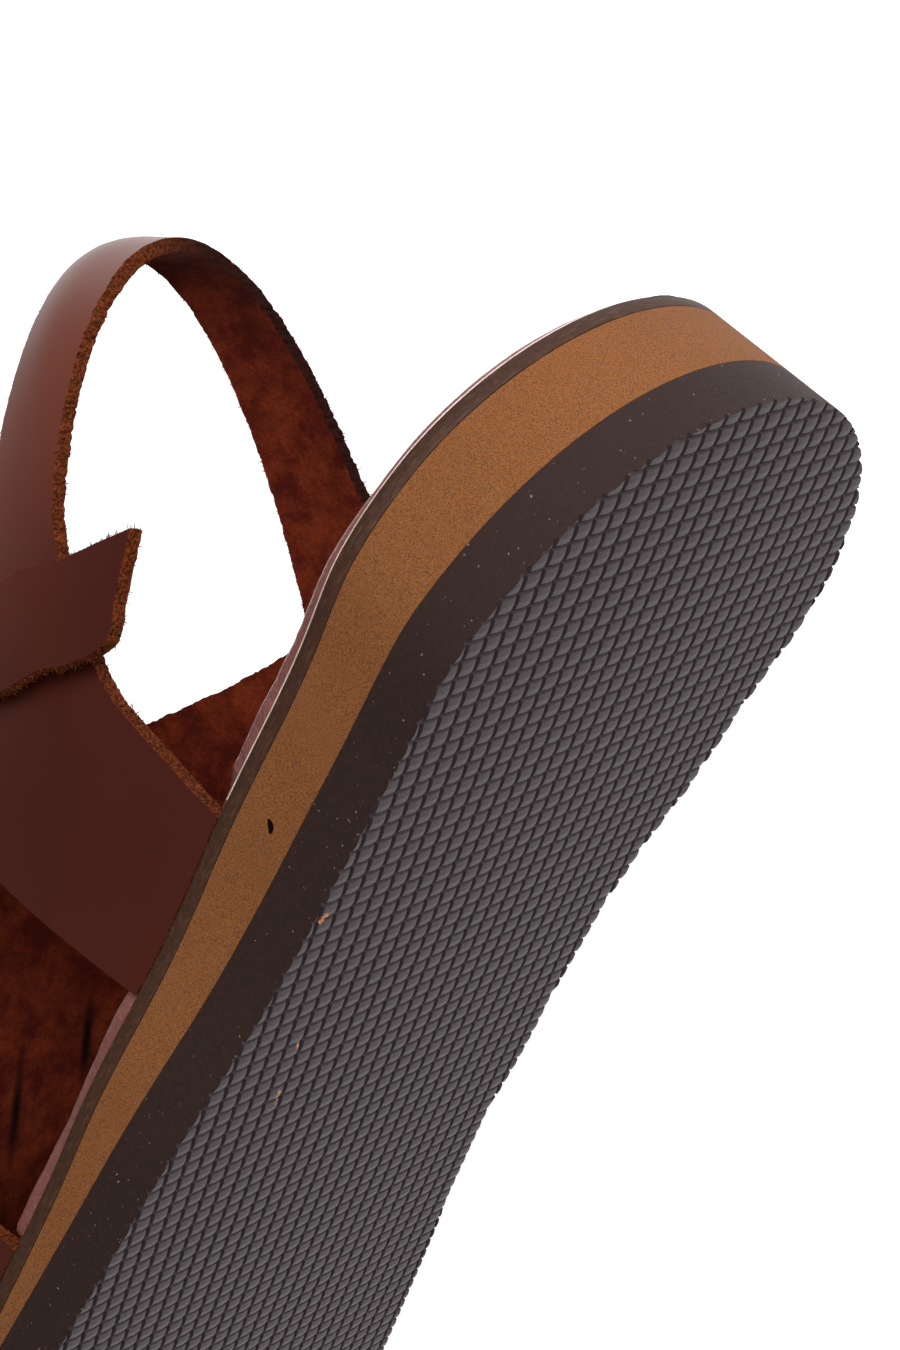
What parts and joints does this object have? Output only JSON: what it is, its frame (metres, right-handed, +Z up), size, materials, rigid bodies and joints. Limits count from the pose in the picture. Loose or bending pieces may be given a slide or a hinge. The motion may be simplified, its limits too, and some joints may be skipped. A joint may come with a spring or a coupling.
{
  "type": "ankle strap sandal",
  "caption": "Left ankle strap sandal with a low foam wedge heel, gridded rubber tread and leather straps, lying on its medial side.",
  "frame": {"origin": "middle of the bounding box on the floor, with the shoe lying on its medial side", "axes": "+X from heel to toe, +Y the way the tread faces, +Z up, which is the shoe's lateral side"},
  "size_m": [0.2622, 0.1012, 0.0875],
  "materials": {
    "outsole_rubber": "moulded dark brown rubber with a gridded tread",
    "wedge_foam": "tan foam, buffed at the edge",
    "midsole_board": "grey-brown board, scratched along its edge",
    "footbed_leather": "red-brown leather wrapped over a soft board",
    "upper_leather": "smooth brown leather outside, suede flesh side inside, raw cut edges"
  },
  "bodies": {
    "root": {"outsole": "outsole_rubber", "heel_wedge": "wedge_foam", "midsole": "midsole_board", "footbed": "footbed_leather", "upper": "upper_leather"}
  },
  "joints": []
}
